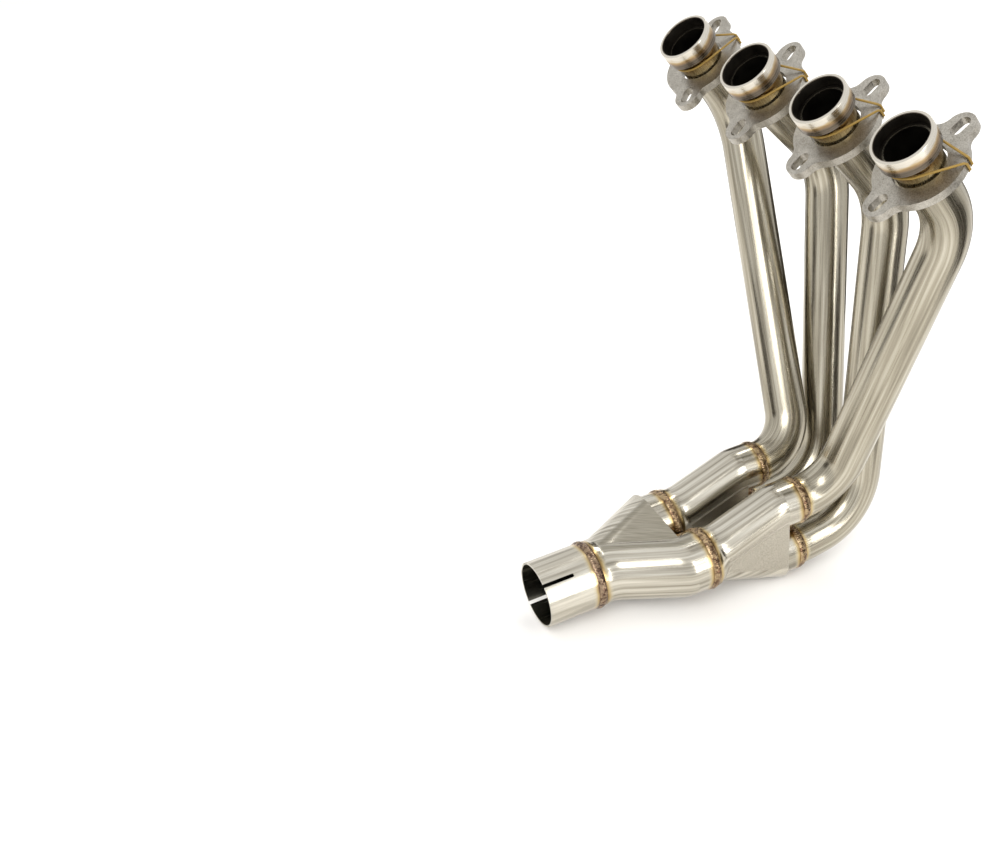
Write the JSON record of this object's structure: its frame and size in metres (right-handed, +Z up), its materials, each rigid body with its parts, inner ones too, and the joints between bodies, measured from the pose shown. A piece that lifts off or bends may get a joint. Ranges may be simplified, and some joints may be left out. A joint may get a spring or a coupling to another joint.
{
  "type": "motorcycle exhaust header",
  "caption": "Stainless exhaust header for an inline motorcycle engine: bent primary tubes with loose stud flanges run into paired merge collectors and a slotted outlet sleeve.",
  "frame": {"origin": "middle of the outlet sleeve's mouth, the header lying on its outlet lip and its lower inlets", "axes": "+Z up; +X forward from the outlet towards the ports; +Y to the left, where port 1 is. The outlet line leans 4.6 degrees, nose up"},
  "size_m": [0.3076, 0.3, 0.3666],
  "materials": {
    "turned_collar_steel": "satin turned stainless steel, straw tint near the weld",
    "cast_flange_steel": "satin stainless plate with rounded edges",
    "tube_steel": "lengthwise brushed stainless tube",
    "collector_steel": "bright brushed stainless sheet",
    "sleeve_steel": "bright brushed stainless tube with heat tint near the weld",
    "weld_tig": "rippled weld bead with straw and purple heat tint",
    "band_rubber": "matt natural rubber"
  },
  "bodies": {
    "header": {"collar_1": "turned_collar_steel", "collar_2": "turned_collar_steel", "collar_3": "turned_collar_steel", "collar_4": "turned_collar_steel", "collar_weld_1": "weld_tig", "collar_weld_2": "weld_tig", "collar_weld_3": "weld_tig", "collar_weld_4": "weld_tig", "primary_tube_1": "tube_steel", "primary_tube_2": "tube_steel", "primary_tube_3": "tube_steel", "primary_tube_4": "tube_steel", "primary_weld_1": "weld_tig", "primary_weld_2": "weld_tig", "primary_weld_3": "weld_tig", "primary_weld_4": "weld_tig", "first_stage_left": "collector_steel", "first_stage_right": "collector_steel", "lower_stub_left": "collector_steel", "lower_stub_right": "collector_steel", "middle_weld_left": "weld_tig", "middle_weld_right": "weld_tig", "second_stage": "collector_steel", "rear_stub": "collector_steel", "outlet_weld": "weld_tig", "outlet_sleeve": "sleeve_steel"},
    "flange_1_swivel": {"flange_1": "cast_flange_steel", "flange_band_1": "band_rubber"},
    "flange_2_swivel": {"flange_2": "cast_flange_steel", "flange_band_2": "band_rubber"},
    "flange_3_swivel": {"flange_3": "cast_flange_steel", "flange_band_3": "band_rubber"},
    "flange_4_swivel": {"flange_4": "cast_flange_steel", "flange_band_4": "band_rubber"}
  },
  "joints": [
    {"name": "flange_1_turn", "type": "hinge", "parent": "header", "child": "flange_1_swivel", "pos_m": [0.22739, 0.178, 0.30426], "axis": [-0.6639, 0, 0.7478], "range_deg": [-85, 25]},
    {"name": "flange_2_turn", "type": "hinge", "parent": "header", "child": "flange_2_swivel", "pos_m": [0.22739, 0.098, 0.30426], "axis": [-0.6639, 0, 0.7478], "range_deg": [-68, 42]},
    {"name": "flange_3_turn", "type": "hinge", "parent": "header", "child": "flange_3_swivel", "pos_m": [0.22739, 0.018, 0.30426], "axis": [-0.6639, 0, 0.7478], "range_deg": [-53.5, 56.5]},
    {"name": "flange_4_turn", "type": "hinge", "parent": "header", "child": "flange_4_swivel", "pos_m": [0.22739, -0.062, 0.30426], "axis": [-0.6639, 0, 0.7478], "range_deg": [-49.5, 60.5]}
  ]
}
